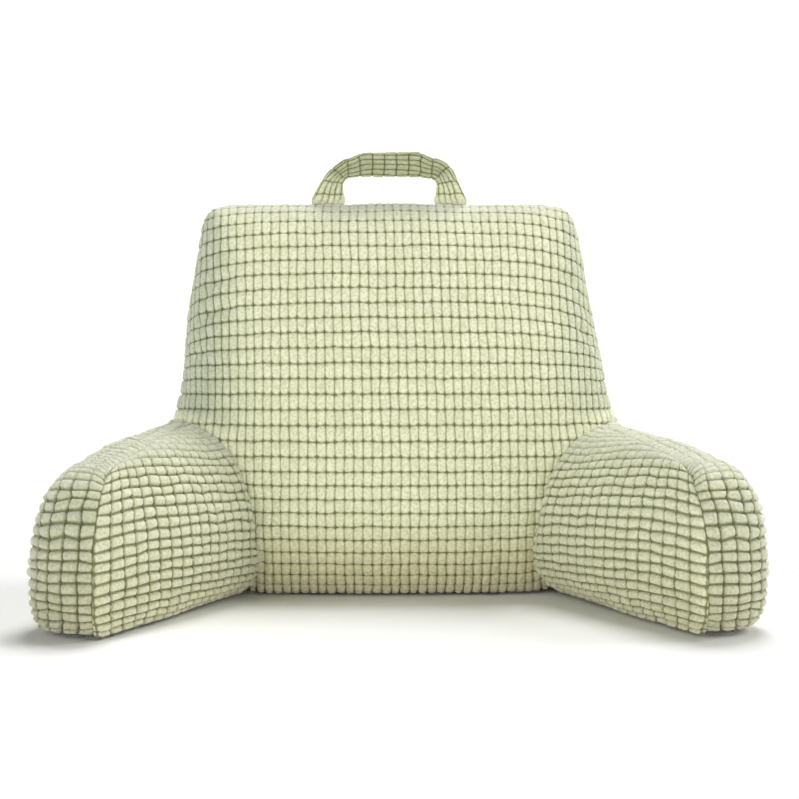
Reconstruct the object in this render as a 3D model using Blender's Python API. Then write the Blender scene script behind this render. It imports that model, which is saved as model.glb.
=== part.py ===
"""Reading pillow with arms: a reclined filled backrest, two splayed filled arms and a carry handle.

The sizes are in metres.  X is across the pillow, Y runs from the sitter to the rear, Z is up.
The tables are laid out with Y = 0 at the foremost point of the backrest; the finished pillow
is then moved so that the origin lies under the middle of its outline, on the floor.
"""
import math
from collections import namedtuple

import bmesh
import bpy
from mathutils import Vector

# ---- Driving dimensions -------------------------------------------------------------------

JOIN_GAP = 0.00036           # space that the arms and the handle keep to the backrest

# Backrest: level sections from the floor to the top ridge.  Each section is a rounded
# outline, half_width to either side of centre_x and from front to rear, squarer as the
# exponent grows.  The top leans a little to one side.
Section = namedtuple("Section", "height centre_x half_width front rear exponent")
BACKREST_SECTIONS = [Section(*row) for row in (
    (0.000, 0.000, 0.238, 0.056, 0.205, 3.0),
    (0.009, 0.000, 0.253, 0.038, 0.222, 2.8),
    (0.028, 0.000, 0.267, 0.021, 0.236, 2.5),
    (0.062, 0.000, 0.278, 0.006, 0.246, 2.3),
    (0.110, 0.000, 0.284, 0.000, 0.251, 2.2),
    (0.165, 0.000, 0.285, 0.001, 0.252, 2.2),
    (0.225, -0.001, 0.278, 0.010, 0.250, 2.2),
    (0.285, -0.002, 0.268, 0.024, 0.245, 2.2),
    (0.345, -0.004, 0.260, 0.040, 0.237, 2.2),
    (0.400, -0.005, 0.251, 0.058, 0.226, 2.3),
    (0.440, -0.006, 0.245, 0.074, 0.214, 2.5),
    (0.464, -0.007, 0.240, 0.089, 0.201, 2.7),
    (0.479, -0.007, 0.233, 0.106, 0.186, 2.9),
    (0.487, -0.007, 0.221, 0.124, 0.169, 3.0),
    (0.490, -0.007, 0.206, 0.139, 0.154, 3.0),
)]
BACKREST_AROUND = 72         # points round a section
BACKREST_STEPS = 2           # meshed levels for each row of the table

# Arm on the +X side: the outline at its widest level, from inside the backrest, along the
# sitter's side to the nose, round the boxing strip, and back along the outer side.  The cloth
# closes over the top and under the base towards the core point of each row.  The rise is 0
# where the arm is as low as its nose and 1 at its full height.
Row = namedtuple("Row", "x y core_x core_y rise")
ARM_OUTLINE = [Row(*row) for row in (
    (0.134, 0.092, 0.270, 0.112, 1.20),
    (0.160, 0.030, 0.276, 0.066, 1.05),
    (0.184, -0.024, 0.281, 0.016, 0.93),
    (0.208, -0.077, 0.285, -0.036, 0.78),
    (0.233, -0.130, 0.289, -0.090, 0.58),
    (0.258, -0.180, 0.294, -0.140, 0.26),
    (0.279, -0.222, 0.297, -0.172, 0.06),
    (0.292, -0.248, 0.298, -0.188, 0.00),
    (0.300, -0.257, 0.300, -0.192, 0.00),
    (0.312, -0.257, 0.305, -0.192, 0.00),
    (0.334, -0.247, 0.314, -0.188, 0.00),
    (0.358, -0.231, 0.320, -0.182, 0.01),
    (0.376, -0.209, 0.322, -0.172, 0.06),
    (0.383, -0.180, 0.319, -0.156, 0.16),
    (0.379, -0.142, 0.312, -0.122, 0.37),
    (0.367, -0.092, 0.303, -0.080, 0.62),
    (0.347, -0.030, 0.295, -0.030, 0.80),
    (0.324, 0.036, 0.286, 0.026, 0.95),
    (0.299, 0.100, 0.276, 0.078, 1.08),
    (0.270, 0.152, 0.271, 0.108, 1.18),
    (0.232, 0.174, 0.268, 0.122, 1.20),
    (0.175, 0.158, 0.268, 0.122, 1.20),
)]
ARM_STEPS = 3                # meshed points for each row of the outline
ARM_WIDEST_SHARE = 0.36      # height of the widest level, as a share of the arm's height
ARM_BASE_CUT = 0.94          # share of the round underside that stands above the floor
ARM_FOOT_SPACING = 1.5       # over 1 sets the levels of the lower half closer near the floor
ARM_CROWN_LEVELS = 9
ARM_FOOT_LEVELS = 5
ARM_CROWN_CLOSE = 0.10       # share of the width at which the crown is closed by a cap

# The two arms are stuffed a little differently.  The crown exponents give the squareness of
# the upper half of a cross-section, and foot that of the lower half; rear is where the arm
# leaves the backrest.
Arm = namedtuple("Arm", "name side top_rear top_nose crown_rear crown_nose foot")
ARMS = (
    Arm("arm_left", -1, 0.207, 0.173, 2.0, 2.05, 3.4),
    Arm("arm_right", 1, 0.204, 0.176, 2.0, 2.4, 2.8),
)

# Carry handle: a flat padded strap.  Its legs stand on the top ridge with their faces to the
# front.  They turn forward as they rise, most at the corners, where the strap folds over, and
# the grip leans forward.  The route is that of its inner edge, round the opening for the hand.
HANDLE_WIDTH = 0.039
HANDLE_THICKNESS = 0.009
HANDLE_OPENING_X = 0.062     # half the width of the opening
HANDLE_OPENING_Z = 0.528     # height of the grip's inner edge
HANDLE_CORNER = 0.008        # radius of the inner edge at the corners
HANDLE_X = -0.006            # the middle of the handle
HANDLE_Y = 0.147             # over the top ridge
HANDLE_FOOT_Z = 0.472        # the legs run down to here before the ridge trims them
HANDLE_LEAN_LEG = math.radians(57)      # at the top of the legs
HANDLE_LEAN_CORNER = math.radians(68)
HANDLE_LEAN_GRIP = math.radians(52)
HANDLE_LEAN_FROM_Z = 0.480   # the legs start to lean here
HANDLE_LEAN_EASE = 1.6       # over 1 makes the legs turn faster as they rise
HANDLE_FOLD_REACH = 0.022    # the fold at a corner fades out this far along the grip
HANDLE_LEG_STEPS = 8
HANDLE_CORNER_STEPS = 7
HANDLE_GRIP_STEPS = 12
HANDLE_EDGE_STEPS = 3        # points round each long edge of the strap

CLOTH_COLOUR = (0.60, 0.64, 0.41, 1.0)
CLOTH_ROUGHNESS = 0.92


# ---- Helpers ------------------------------------------------------------------------------

def clear_scene():
    for old in list(bpy.data.objects):
        bpy.data.objects.remove(old, do_unlink=True)


def cloth_material(name):
    """A plain matt cloth finish of its own for one solid."""
    material = bpy.data.materials.new(name)
    material.use_nodes = True
    shader = material.node_tree.nodes["Principled BSDF"]
    shader.inputs["Base Color"].default_value = CLOTH_COLOUR
    shader.inputs["Roughness"].default_value = CLOTH_ROUGHNESS
    shader.inputs["Metallic"].default_value = 0.0
    material.diffuse_color = CLOTH_COLOUR
    return material


def smooth_row(rows, index, closed):
    """The table's values at a fractional row, on a smooth curve through its rows."""
    count = len(rows)
    low = math.floor(index)
    t = index - low

    def row(offset):
        place = low + offset
        if closed:
            return rows[place % count]
        return rows[min(max(place, 0), count - 1)]

    before, start, end, after = row(-1), row(0), row(1), row(2)
    return type(start)(*(
        b + 0.5 * t * (c - a + t * (2 * a - 5 * b + 4 * c - d + t * (3 * (b - c) + d - a)))
        for a, b, c, d in zip(before, start, end, after)
    ))


def skin(name, rings, material):
    """One closed body over a stack of level rings of equal length, with a cap at each end."""
    mesh = bmesh.new()
    loops = [[mesh.verts.new(point) for point in ring] for ring in rings]
    around = len(rings[0])
    for lower, upper in zip(loops, loops[1:]):
        for i in range(around):
            j = (i + 1) % around
            mesh.faces.new((lower[i], lower[j], upper[j], upper[i]))
    mesh.faces.new(list(reversed(loops[0])))
    mesh.faces.new(loops[-1])
    bmesh.ops.triangulate(mesh, faces=mesh.faces[:])
    bmesh.ops.recalc_face_normals(mesh, faces=mesh.faces[:])
    data = bpy.data.meshes.new(name)
    mesh.to_mesh(data)
    mesh.free()
    data.shade_smooth()
    data.materials.append(material)
    solid = bpy.data.objects.new(name, data)
    bpy.context.scene.collection.objects.link(solid)
    return solid


# ---- Backrest -----------------------------------------------------------------------------

def backrest_section(index):
    """The ring of points round the backrest at a fractional row of its table."""
    row = smooth_row(BACKREST_SECTIONS, index, False)
    middle = (row.front + row.rear) / 2
    half_depth = (row.rear - row.front) / 2
    power = 2 / row.exponent
    ring = []
    for i in range(BACKREST_AROUND):
        angle = 2 * math.pi * i / BACKREST_AROUND
        across, along = math.sin(angle), -math.cos(angle)
        x = row.centre_x + row.half_width * math.copysign(abs(across) ** power, across)
        y = middle + half_depth * math.copysign(abs(along) ** power, along)
        ring.append(Vector((x, y, row.height)))
    return ring


def make_backrest():
    last = len(BACKREST_SECTIONS) - 1
    count = last * BACKREST_STEPS
    rings = [backrest_section(last * i / count) for i in range(count + 1)]
    return skin("backrest", rings, cloth_material("backrest_cloth"))


def grown_copy(solid, gap):
    """A guide body that stands the gap outside a solid, for trimming what meets it."""
    guide = bpy.data.objects.new(solid.name + "_trim", solid.data.copy())
    bpy.context.scene.collection.objects.link(guide)
    normals = [Vector(vertex.normal) for vertex in guide.data.vertices]
    for vertex, normal in zip(guide.data.vertices, normals):
        vertex.co += normal * gap
    guide.hide_render = True
    guide.display_type = "WIRE"
    return guide


def trim(solid, guide):
    """Cut a solid back to the guide, so that it fits against the backrest."""
    cut = solid.modifiers.new("fit_to_backrest", "BOOLEAN")
    cut.operation = "DIFFERENCE"
    cut.solver = "EXACT"
    cut.object = guide


# ---- Arms ---------------------------------------------------------------------------------

def smooth_share(value, start, end):
    """How far a value has gone from start to end, from 0 to 1, easing in and out."""
    t = min(max((value - start) / (end - start), 0.0), 1.0)
    return t * t * (3 - 2 * t)


def arm_levels(crown, foot):
    """Pairs of width share and signed height share, from the flat base to the crown."""
    pairs = []
    for i in range(ARM_FOOT_LEVELS):
        drop = ARM_BASE_CUT * (1 - (i / ARM_FOOT_LEVELS) ** ARM_FOOT_SPACING)
        width = (1 - drop ** foot) ** (1 / foot)
        pairs.append((width, -drop / ARM_BASE_CUT))
    for i in range(ARM_CROWN_LEVELS + 1):
        width = 1 - (1 - ARM_CROWN_CLOSE) * (i / ARM_CROWN_LEVELS) ** 2
        rise = max(1 - width ** crown, 0.0) ** (1 / crown)
        pairs.append((width, rise))
    return pairs


def arm_rib(row, arm):
    """The points up one row of the outline, from the flat base to the crown."""
    top = arm.top_nose + (arm.top_rear - arm.top_nose) * row.rise
    crown = arm.crown_nose + (arm.crown_rear - arm.crown_nose) * row.rise
    widest = top * ARM_WIDEST_SHARE
    rib = []
    for width, rise in arm_levels(crown, arm.foot):
        z = widest + (widest if rise < 0 else top - widest) * rise
        x = row.core_x + (row.x - row.core_x) * width
        y = row.core_y + (row.y - row.core_y) * width
        rib.append(Vector((arm.side * x, y, z)))
    return rib


def make_arm(arm):
    count = len(ARM_OUTLINE) * ARM_STEPS
    ribs = [arm_rib(smooth_row(ARM_OUTLINE, i / ARM_STEPS, True), arm) for i in range(count)]
    return skin(arm.name, list(zip(*ribs)), cloth_material(arm.name + "_cloth"))


# ---- Handle -------------------------------------------------------------------------------

def handle_route():
    """Stations along the strap's inner edge: x, z, the turn of its direction, and the lean."""
    stations = []
    bend_x = HANDLE_OPENING_X - HANDLE_CORNER
    bend_z = HANDLE_OPENING_Z - HANDLE_CORNER
    for i in range(HANDLE_LEG_STEPS):
        z = HANDLE_FOOT_Z + (bend_z - HANDLE_FOOT_Z) * i / HANDLE_LEG_STEPS
        share = max(z - HANDLE_LEAN_FROM_Z, 0.0) / (bend_z - HANDLE_LEAN_FROM_Z)
        lean = HANDLE_LEAN_LEG * share ** HANDLE_LEAN_EASE
        stations.append((-HANDLE_OPENING_X, z, math.pi / 2, lean))
    for i in range(HANDLE_CORNER_STEPS):
        share = i / HANDLE_CORNER_STEPS
        turn = math.pi / 2 * (1 - share)
        x = -bend_x - HANDLE_CORNER * math.sin(turn)
        z = bend_z + HANDLE_CORNER * math.cos(turn)
        lean = HANDLE_LEAN_LEG + (HANDLE_LEAN_CORNER - HANDLE_LEAN_LEG) * share
        stations.append((x, z, turn, lean))
    for i in range(HANDLE_GRIP_STEPS // 2 + 1):
        x = -bend_x * (1 - 2 * i / HANDLE_GRIP_STEPS)
        share = smooth_share(x, -bend_x, HANDLE_FOLD_REACH - bend_x)
        lean = HANDLE_LEAN_CORNER + (HANDLE_LEAN_GRIP - HANDLE_LEAN_CORNER) * share
        stations.append((x, HANDLE_OPENING_Z, 0.0, lean))
    mirrored = [(-x, z, -turn, lean) for x, z, turn, lean in reversed(stations[:-1])]
    return stations + mirrored


def strap_outline():
    """The strap's cross-section, outward from its inner edge: flat faces, half-round edges."""
    radius = HANDLE_THICKNESS / 2
    outline = []
    for centre, side in ((HANDLE_WIDTH - radius, 1), (radius, -1)):
        for i in range(HANDLE_EDGE_STEPS + 1):
            angle = math.pi * (i / HANDLE_EDGE_STEPS - 0.5)
            across = centre + side * radius * math.cos(angle)
            outline.append((across, side * radius * math.sin(angle)))
        outline.append((HANDLE_WIDTH / 2, side * radius))
    return outline


def make_handle():
    rings = []
    for x, z, turn, lean in handle_route():
        direction = Vector((math.cos(turn), 0.0, math.sin(turn)))
        outward = Vector((-math.sin(turn), 0.0, math.cos(turn)))
        forward = Vector((0.0, -1.0, 0.0))
        across = outward * math.cos(lean) + forward * math.sin(lean)
        through = direction.cross(across)
        edge = Vector((HANDLE_X + x, HANDLE_Y, z))
        rings.append([edge + across * a + through * b for a, b in strap_outline()])
    return skin("handle", rings, cloth_material("handle_cloth"))


# ---- Pillow -------------------------------------------------------------------------------

def evaluated_corners(solids):
    graph = bpy.context.evaluated_depsgraph_get()
    points = []
    for solid in solids:
        shape = solid.evaluated_get(graph)
        points += [shape.matrix_world @ vertex.co for vertex in shape.data.vertices]
    low = Vector([min(p[i] for p in points) for i in range(3)])
    high = Vector([max(p[i] for p in points) for i in range(3)])
    return low, high


def stand_on_origin(solids, guides):
    """Move everything so that the origin lies under the middle of the pillow, on the floor."""
    low, high = evaluated_corners(solids)
    shift = Vector((-(low.x + high.x) / 2, -(low.y + high.y) / 2, -low.z))
    for thing in solids + guides:
        thing.location += shift


def main():
    clear_scene()
    backrest = make_backrest()
    guide = grown_copy(backrest, JOIN_GAP)
    arms = [make_arm(arm) for arm in ARMS]
    handle = make_handle()
    for solid in arms + [handle]:
        trim(solid, guide)
    stand_on_origin([backrest, handle] + arms, [guide])


main()
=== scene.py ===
"""Looks of the reading pillow with arms: puffed check plush over its filled bodies.

Each panel of the cover is a grid whose lines run in the grooves of the cloth and over its puffs.
It is laid on its body, cut to its seams and raised into cells.  Sizes are in metres.
"""
from collections import namedtuple
from math import copysign, cos, pi, radians, sin

import bpy
import numpy as np
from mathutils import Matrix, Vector
from mathutils.bvhtree import BVHTree


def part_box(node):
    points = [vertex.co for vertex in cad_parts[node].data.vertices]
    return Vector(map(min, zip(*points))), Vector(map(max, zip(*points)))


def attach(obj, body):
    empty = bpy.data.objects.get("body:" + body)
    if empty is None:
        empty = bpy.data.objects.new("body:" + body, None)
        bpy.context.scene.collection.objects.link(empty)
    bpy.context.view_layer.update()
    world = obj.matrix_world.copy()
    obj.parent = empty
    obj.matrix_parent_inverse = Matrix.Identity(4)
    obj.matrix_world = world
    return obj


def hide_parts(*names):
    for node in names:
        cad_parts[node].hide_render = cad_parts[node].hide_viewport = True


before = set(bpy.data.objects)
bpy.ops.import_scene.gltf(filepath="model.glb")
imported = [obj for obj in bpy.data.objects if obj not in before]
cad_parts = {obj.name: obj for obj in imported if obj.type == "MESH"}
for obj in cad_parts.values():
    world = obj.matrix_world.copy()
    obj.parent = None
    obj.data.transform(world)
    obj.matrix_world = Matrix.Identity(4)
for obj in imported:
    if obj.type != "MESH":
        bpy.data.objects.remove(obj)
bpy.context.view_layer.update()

# ---- The filled bodies, as the solids have them ----
# Their Y starts at the foremost point of the backrest; SHIFT_Y brings it to the frame.

BACKREST_SECTIONS = (
    # height, centre x, half width, front, rear, exponent
    (0.000, 0.000, 0.238, 0.056, 0.205, 3.0),
    (0.009, 0.000, 0.253, 0.038, 0.222, 2.8),
    (0.028, 0.000, 0.267, 0.021, 0.236, 2.5),
    (0.062, 0.000, 0.278, 0.006, 0.246, 2.3),
    (0.110, 0.000, 0.284, 0.000, 0.251, 2.2),
    (0.165, 0.000, 0.285, 0.001, 0.252, 2.2),
    (0.225, -0.001, 0.278, 0.010, 0.250, 2.2),
    (0.285, -0.002, 0.268, 0.024, 0.245, 2.2),
    (0.345, -0.004, 0.260, 0.040, 0.237, 2.2),
    (0.400, -0.005, 0.251, 0.058, 0.226, 2.3),
    (0.440, -0.006, 0.245, 0.074, 0.214, 2.5),
    (0.464, -0.007, 0.240, 0.089, 0.201, 2.7),
    (0.479, -0.007, 0.233, 0.106, 0.186, 2.9),
    (0.487, -0.007, 0.221, 0.124, 0.169, 3.0),
    (0.490, -0.007, 0.206, 0.139, 0.154, 3.0),
    (0.490, -0.007, 0.196, 0.1465, 0.1465, 3.0),
)
RIDGE_ROW = len(BACKREST_SECTIONS) - 1  # the last row closes the ridge

# The right arm's outline, forward on the inside and back on the outside; the left arm mirrors it.
# The core is the point of the crown that a row narrows to.
ARM_OUTLINE = (
    # x, y, core x, core y, share of the rise from the nose to the rear
    (0.134, 0.092, 0.270, 0.112, 1.20),
    (0.160, 0.030, 0.276, 0.066, 1.05),
    (0.184, -0.024, 0.281, 0.016, 0.93),
    (0.208, -0.077, 0.285, -0.036, 0.78),
    (0.233, -0.130, 0.289, -0.090, 0.58),
    (0.258, -0.180, 0.294, -0.140, 0.26),
    (0.279, -0.222, 0.297, -0.172, 0.06),
    (0.292, -0.248, 0.298, -0.188, 0.00),
    (0.300, -0.257, 0.300, -0.192, 0.00),
    (0.312, -0.257, 0.305, -0.192, 0.00),
    (0.334, -0.247, 0.314, -0.188, 0.00),
    (0.358, -0.231, 0.320, -0.182, 0.01),
    (0.376, -0.209, 0.322, -0.172, 0.06),
    (0.383, -0.180, 0.319, -0.156, 0.16),
    (0.379, -0.142, 0.312, -0.122, 0.37),
    (0.367, -0.092, 0.303, -0.080, 0.62),
    (0.347, -0.030, 0.295, -0.030, 0.80),
    (0.324, 0.036, 0.286, 0.026, 0.95),
    (0.299, 0.100, 0.276, 0.078, 1.08),
    (0.270, 0.152, 0.271, 0.108, 1.18),
    (0.232, 0.174, 0.268, 0.122, 1.20),
    (0.175, 0.158, 0.268, 0.122, 1.20),
)
ARM_WIDEST_SHARE = 0.36  # the arm is widest at this share of its height
ARM_BASE_CUT = 0.94  # how far down its rounded foot the base is cut

# Heights and crown shapes at the rear and the nose, the foot's shape, and how much paler its cloth
# is, as painted light.
Arm = namedtuple("Arm", "name side top_rear top_nose crown_rear crown_nose foot paler")
ARMS = (
    Arm("arm_left", -1, 0.207, 0.173, 2.0, 2.05, 3.4, 1.0),
    Arm("arm_right", 1, 0.204, 0.176, 2.0, 2.4, 2.8, 1.09),
)

# The strap is laid out from the edge of its opening, and leans forward more and more up its legs.
STRAP_WIDTH = 0.039
STRAP_THICKNESS = 0.009
STRAP_OPENING_X = 0.062
STRAP_OPENING_Z = 0.528
STRAP_CORNER = 0.008
STRAP_X = -0.006
STRAP_Y = 0.147
STRAP_FOOT_Z = 0.478
STRAP_LEAN_LEG, STRAP_LEAN_CORNER, STRAP_LEAN_GRIP = radians(57), radians(68), radians(52)
STRAP_LEAN_FROM_Z = 0.480
STRAP_LEAN_EASE = 1.6
STRAP_FOLD_REACH = 0.022
STRAP_PINCH = 0.25, 0.10  # how much narrower its cloth is at the left and right corner
STRAP_FOOT_PINCH = 0.08, 0.15  # and foot
STRAP_FOOT_FULL_Z = 0.500

SHIFT_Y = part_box("backrest")[0].y
BACKREST_MIDDLE = np.array([0.0, 0.13 + SHIFT_Y, 0.24])

# ---- The cloth ----

FINE_STOPS, PLAIN_STOPS = (0.0, 0.16, 0.48, 1.0), (0.0, 0.28, 0.95)

# How the cells of a cloth are laid.  For its two directions, a and b: the pitch from groove to
# groove, the place of one groove, half a groove's width, and how deep and how dark the grooves
# are, as shares; that darkness is the cloth's darker ground with painted shade on top.  Then: the
# radius of a cell's corners, the width of its rounded edge, its puff, how far the crossings of the
# grooves stray, where the grid's lines lie across the rounded edge, how far the grooves deepen and
# painted shade darkens the cloth where it faces sideways, and how much of its grooves the pile
# covers where it faces up.
Weave = namedtuple("Weave", "pitch zero gap drop dark corner edge puff stray stops sideways cover",
                   defaults=(FINE_STOPS, 0.0, 0.85))
BACK_WEAVE = Weave(
    pitch=(0.0192, 0.0110), zero=(0.0151, 0.0040), gap=(0.0007, 0.0003), drop=(0.85, 0.55),
    dark=(0.44, 0.50), corner=0.0046, edge=0.0034, puff=0.0030, stray=0.0005, stops=PLAIN_STOPS,
    sideways=1.0, cover=0.35)
REAR_WEAVE = BACK_WEAVE._replace(zero=(0.006, 0.0040))
ARM_WEAVE = Weave(
    pitch=(0.0190, 0.0109), zero=(0.0, 0.0040), gap=(0.0007, 0.0009), drop=(0.95, 1.0),
    dark=(0.75, 0.95), corner=0.0042, edge=0.0042, puff=0.0038, stray=0.0008)
STRIP_WEAVE = Weave(
    pitch=(0.0107, 0.0184), zero=(0.0060, 0.0), gap=(0.0009, 0.0007), drop=(1.0, 0.95),
    dark=(0.90, 0.85), corner=0.0040, edge=0.0036, puff=0.0038, stray=0.0011)
STRAP_WEAVE = Weave(
    pitch=(0.0155, 0.0084), zero=(0.0077, 0.0), gap=(0.0005, 0.0006), drop=(1.0, 1.0),
    dark=(0.9, 1.0), corner=0.0024, edge=0.0026, puff=0.0018, stray=0.0007,
    stops=(*FINE_STOPS, 1.9))

HALF_CELL = 0.47  # no line of the grid's edges passes this share of a cell
CROSSING_DROP = 1.25  # how deep the crossings of the grooves lie, as a share of the puff
PUFF_SPREAD = 0.14  # how unlike each other the puffs are
PUFF_TOP = 0.0003  # how far a cell's crown stands over the filled body
PILE_ROUGH = 0.00018  # the pile's own unevenness
TOP_FLATTER = 0.45  # how much flatter the puffs are where the cloth faces up
TOP_RANGE = 0.50, 0.90  # over these shares of facing up
FOOT_DEEPER = 0.6  # how much deeper the grooves are near the floor
FOOT_Z = 0.060, 0.015  # from this height down to this one
SIDE_DEEPER = 0.45  # and where the cloth faces sideways
SIDE_RANGE = 0.15, 0.65  # over these shares of facing sideways
SIDE_SHARE = 1.0, 0.55  # how much painted shade the left and the right side of the backrest take
SWELL, SWELL_REACH = 0.0012, 0.035  # the filling's slow unevenness
DRIFT_A, DRIFT_B, DRIFT_REACH = 0.0005, 0.0004, 0.040  # how the grooves wander
DRIFT_SLOWER = 0.4  # those along a wander more slowly

JOIN_DEPTH = 0.0035  # how far cloth sinks where an arm meets the backrest
JOIN_REACH = 0.0055  # and how wide
PUCKER, PUCKER_REACH, PUCKER_SIZE = 0.0008, 0.014, 0.0045  # small puckers beside a join
FILLET_HEIGHT = 0.0065  # high up, the cloth spans the corner between arm and backrest
FILLET_REACH, FILLET_Z = 0.014, (0.120, 0.190)
SEAM_LAP = 0.0015  # the backrest's strip reaches this far under its neighbours
HIDDEN_DEPTH = 0.018  # cloth further than this inside another body is left off
NEARBY = 0.08  # further off than this, another body has no say
FLOOR_CLEAR = 0.0004  # the lowest that any cloth lies

# How far a seam pulls the cloth in, how wide, and how much cloth is turned in behind it.
Seam = namedtuple("Seam", "depth reach flange")
PLAIN_SEAM = Seam(0.0032, 0.0055, 0.007)
STRAP_SEAM = Seam(0.0008, 0.0025, 0.002)
BASE_SEAM = Seam(0.0, 0.003, 0.001)
FLANGE_SPARE = 1.4  # the grid is kept to this many flanges past a seam, then trimmed
STRAP_PRESSED, BASE_PRESSED = 0.9, 0.15  # how far the cells stand up there
BASE_HEIGHT = 0.0012  # of the base panels over the floor
BASE_SPARE = 0.02  # cloth laid past their rings
BASE_INSIDE_Z = 0.1  # a height inside every body
STRAP_FOLD_DEPTH, STRAP_FOLD_WIDTH = 0.0034, 0.0026
# Where a fold at the strap's corner starts and ends across it, from the opening's edge.
STRAP_FOLD_START, STRAP_FOLD_END = 0.006, 0.019
STRAP_FOLD_IN = 0.003  # how far inside the opening's corner it starts
STRAP_SPARE = 0.006  # cloth laid past each edge of the strap
LIP, LIP_AT = 0.35, 2.2  # cloth pushed up beside a crease, and how many half widths away

# The backrest's cloth is pushed together at its foot: lengths up the middle of the front, and
# the lengths of cloth that lie there.  Higher up its rows bow down towards the sides.
FOOT_GATHER = ((0.0, 0.0), (0.182, 0.2160), (0.700, 0.7340))
BOW_RANGE = 0.27, 0.40  # lengths up the front between which the bow sets in
BOW_START = 0.13  # from this far off the middle
BOW = 0.95, 1.35  # drop on the left and right, in metres for each square metre past BOW_START

# Seams of the front and rear panels: round a level section from the middle of the front, at
# the foot and at the top, and the row of the table behind the ridge where they end.
Panel = namedtuple("Panel", "name rear foot_angle top_angle top_row weave seed")
FRONT_PANEL = Panel("backrest_front_panel", False, radians(95), radians(104), 14.0, BACK_WEAVE, 3)
REAR_PANEL = Panel("backrest_rear_panel", True, radians(133), radians(133), 11.9, REAR_WEAVE, 4)
BACK_STRIP_SEED, ARM_STRIP_SEED, ARM_PANEL_SEED, BASE_SEED = 6, 12, 32, 41
STRAP_FACES = (("handle_front_face", 1, 31), ("handle_rear_face", -1, 29))  # name, way, seed

# Tucks that run in from the side seams: x and z along each, its depth and its half width.  The
# first is a broad swelling.  Each lies where the backrest comes nearest to the plane TUCK_Y.
TUCKS = (
    (((-0.262, 0.345), (-0.252, 0.415)), -0.0040, 0.045),
    (((-0.264, 0.338), (-0.238, 0.350), (-0.205, 0.354)), 0.0034, 0.0055),
    (((-0.258, 0.374), (-0.236, 0.388), (-0.212, 0.394)), 0.0028, 0.0050),
    (((-0.272, 0.296), (-0.246, 0.300)), 0.0028, 0.0050),
    (((0.266, 0.318), (0.240, 0.336)), 0.0028, 0.0055),
    (((0.250, 0.392), (0.222, 0.404)), 0.0026, 0.0050),
)
TUCK_Y = 0.070
OVER_RIDGE_ROW = 13.0  # the front's cloth is laid down the rear to this row
STRIP_WIDTH = 0.097  # the boxing strip over the nose and the top of an arm

# How the cloth of the arms is stretched: lengths from the nose back and from the foot up, and
# the lengths of cloth that lie there.  Its rows climb a little towards the backrest.
ARM_STRETCH = ((0.0, 0.0), (0.052, 0.041), (0.098, 0.082), (0.170, 0.152), (0.500, 0.495))
ARM_RISE = ((0.0, 0.0), (0.050, 0.055), (0.100, 0.105), (0.160, 0.160), (0.400, 0.385))
STRIP_RISE = ((0.0, 0.0), (0.050, 0.056), (0.100, 0.106), (0.170, 0.164), (0.600, 0.590))
ARM_CLIMB = 0.030
NOSE_LIFT, NOSE_LIFT_REACH = 0.0035, 0.045  # its rows level out beside the nose's seam

# Where the inner seam of an arm's strip runs, up the nose and back over the top, and the points
# on its far side that the cloth heads for.
STRIP_COURSE = (
    # inner seam             outer side
    (0.305, -0.236, 0.002, 0.366, -0.172, 0.002),
    (0.302, -0.250, 0.012, 0.378, -0.176, 0.012),
    (0.301, -0.257, 0.040, 0.384, -0.176, 0.040),
    (0.301, -0.256, 0.083, 0.384, -0.174, 0.081),
    (0.300, -0.252, 0.107, 0.384, -0.171, 0.104),
    (0.298, -0.245, 0.125, 0.383, -0.165, 0.120),
    (0.296, -0.235, 0.142, 0.382, -0.156, 0.133),
    (0.295, -0.217, 0.160, 0.380, -0.138, 0.145),
    (0.293, -0.185, 0.172, 0.376, -0.112, 0.153),
    (0.287, -0.147, 0.180, 0.370, -0.082, 0.158),
    (0.277, -0.112, 0.187, 0.362, -0.052, 0.161),
    (0.271, -0.060, 0.195, 0.352, -0.008, 0.163),
    (0.266, -0.005, 0.200, 0.340, 0.040, 0.164),
    (0.262, 0.050, 0.203, 0.327, 0.088, 0.164),
    (0.258, 0.095, 0.206, 0.315, 0.128, 0.163),
)
SEAM_FADE = 0.65  # how much shallower the strip's seam is along an arm's top
SEAM_FADE_Y, SEAM_FADE_Z = (-0.190, -0.120), (0.145, 0.165)


def smooth_rows(rows, index, closed=False):
    """A table's columns at fractional rows, on a smooth curve through its rows."""
    table = np.array(rows, dtype=float)
    index = np.asarray(index, dtype=float)
    low = np.floor(index).astype(int)
    t = (index - low)[..., None]
    a, b, c, d = (
        table[place % len(table) if closed else np.clip(place, 0, len(table) - 1)]
        for place in (low - 1, low, low + 1, low + 2))
    return b + 0.5 * t * (c - a + t * (2 * a - 5 * b + 4 * c - d + t * (3 * (b - c) + d - a)))


def columns(*parts):
    return np.stack(parts, axis=-1)


def up_to(start, end, count):
    """Even steps from start up to end, without end itself."""
    return np.linspace(start, end, count, endpoint=False)


def ease(value, start, end):
    """0 before start, 1 after end, smooth in between."""
    t = np.clip((value - start) / (end - start), 0.0, 1.0)
    return t * t * (3 - 2 * t)


def backrest_points(index, angle):
    """Points of the backrest at fractional rows of its table and angles round it."""
    height, centre_x, half_width, front, rear, exponent = np.moveaxis(
        smooth_rows(BACKREST_SECTIONS, index), -1, 0)
    across, along = np.sin(angle), -np.cos(angle)
    power = 2 / exponent
    x = centre_x + half_width * np.sign(across) * np.abs(across) ** power
    y = (front + rear) / 2 + (rear - front) / 2 * np.sign(along) * np.abs(along) ** power
    return columns(x, y + SHIFT_Y, height + 0 * x)


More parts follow.
